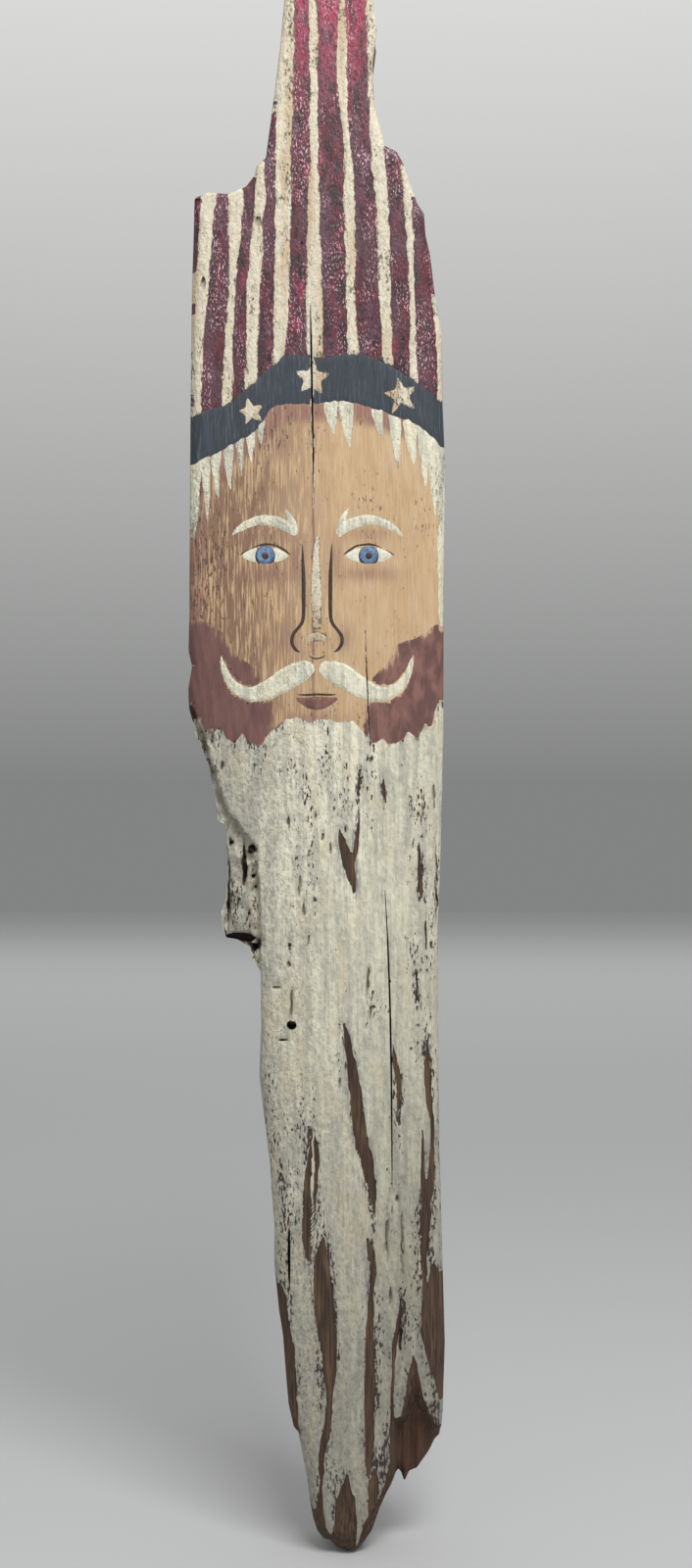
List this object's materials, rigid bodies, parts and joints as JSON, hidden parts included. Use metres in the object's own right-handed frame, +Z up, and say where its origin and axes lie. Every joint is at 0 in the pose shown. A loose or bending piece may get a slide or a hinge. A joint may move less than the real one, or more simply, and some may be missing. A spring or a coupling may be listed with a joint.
{
  "type": "painted driftwood wall figure",
  "caption": "Tall weathered plank painted as a bearded man in a striped hat with a star band, hung from a D-ring strap on its back.",
  "frame": {"origin": "the point inside the top of the hanging ring's bow where a wall hook bears", "axes": "+Z up the plank from foot to hat tip, -Y out of the painted front, +Y into the wall, +X to the right as seen from the front"},
  "size_m": [0.1424, 0.0435, 0.882],
  "materials": {
    "weathered_timber": "old softwood, silvered and stained, with open grain, checks and worn corners",
    "hat_red_paint": "dark cranberry acrylic with a metallic shimmer, worn",
    "pale_paint": "cream acrylic, hand brushed",
    "band_navy_paint": "dark navy acrylic, hand brushed",
    "skin_paint": "warm tan acrylic wash, wood grain showing through",
    "rose_paint": "muted mauve-rose acrylic",
    "white_hair_paint": "thick off-white acrylic with brush ridges, speckled where it is worn",
    "dark_line_paint": "dark brown acrylic line work",
    "eye_white_paint": "off-white acrylic",
    "eye_blue_paint": "grey-blue acrylic",
    "zinc_plated_steel": "zinc-plated mild steel"
  },
  "bodies": {
    "board_body": {"board": "weathered_timber", "hat_red_coat": "hat_red_paint", "hat_pale_stripes": "pale_paint", "hat_band_coat": "band_navy_paint", "band_stars": "pale_paint", "face_coat": "skin_paint", "cheek_coat": "rose_paint", "lower_lip": "rose_paint", "beard_coat": "white_hair_paint", "hair_strokes": "white_hair_paint", "eyebrows": "white_hair_paint", "moustache": "white_hair_paint", "nose_light": "pale_paint", "face_lines": "dark_line_paint", "eye_whites": "eye_white_paint", "eye_irises": "eye_blue_paint", "eye_pupils": "dark_line_paint", "eye_glints": "pale_paint", "hanger_strap": "zinc_plated_steel", "hanger_screw_upper": "zinc_plated_steel", "hanger_screw_lower": "zinc_plated_steel"},
    "hanging_ring": {"hanger_ring": "zinc_plated_steel"}
  },
  "joints": [
    {"name": "ring_hinge", "type": "hinge", "parent": "board_body", "child": "hanging_ring", "pos_m": [0, 0.00091, -0.01627], "axis": [-1, 0, 0], "range_deg": [0, 178]}
  ]
}
